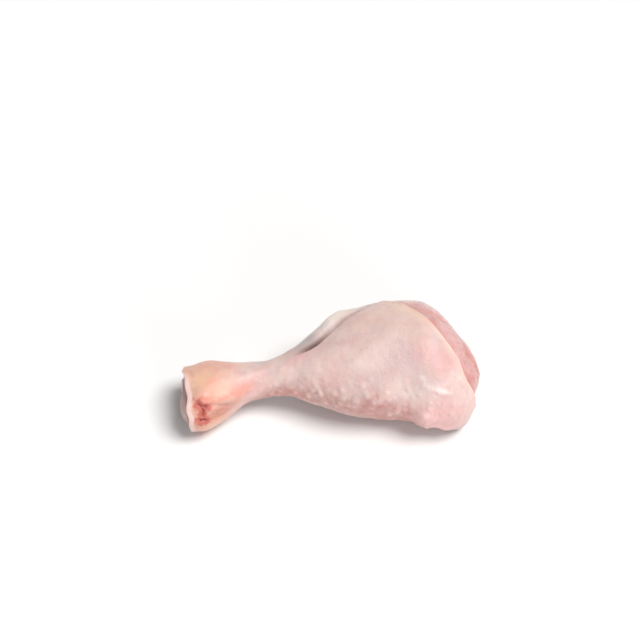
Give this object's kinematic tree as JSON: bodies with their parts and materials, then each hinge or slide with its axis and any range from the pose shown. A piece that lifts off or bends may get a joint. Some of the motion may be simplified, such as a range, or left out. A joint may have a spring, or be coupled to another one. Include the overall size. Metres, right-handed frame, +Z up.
{
  "type": "raw chicken drumstick",
  "caption": "Raw chicken drumstick lying on its side: pale skin with a slack fold, bare pink flesh at the knee and white cartilage at the cut ankle.",
  "frame": {"origin": "middle of the part's box in plan, on the surface that it rests on", "axes": "+X along the leg from the ankle to the knee, +Y to its back, +Z up"},
  "size_m": [0.1317, 0.0574, 0.0458],
  "materials": {
    "skin": "moist, translucent, softly glossy raw skin",
    "meat": "wet, smooth raw flesh",
    "bone": "wet, satin cartilage and bone"
  },
  "bodies": {
    "root": {"skin": "skin", "meat": "meat", "bone": "bone"}
  },
  "joints": []
}
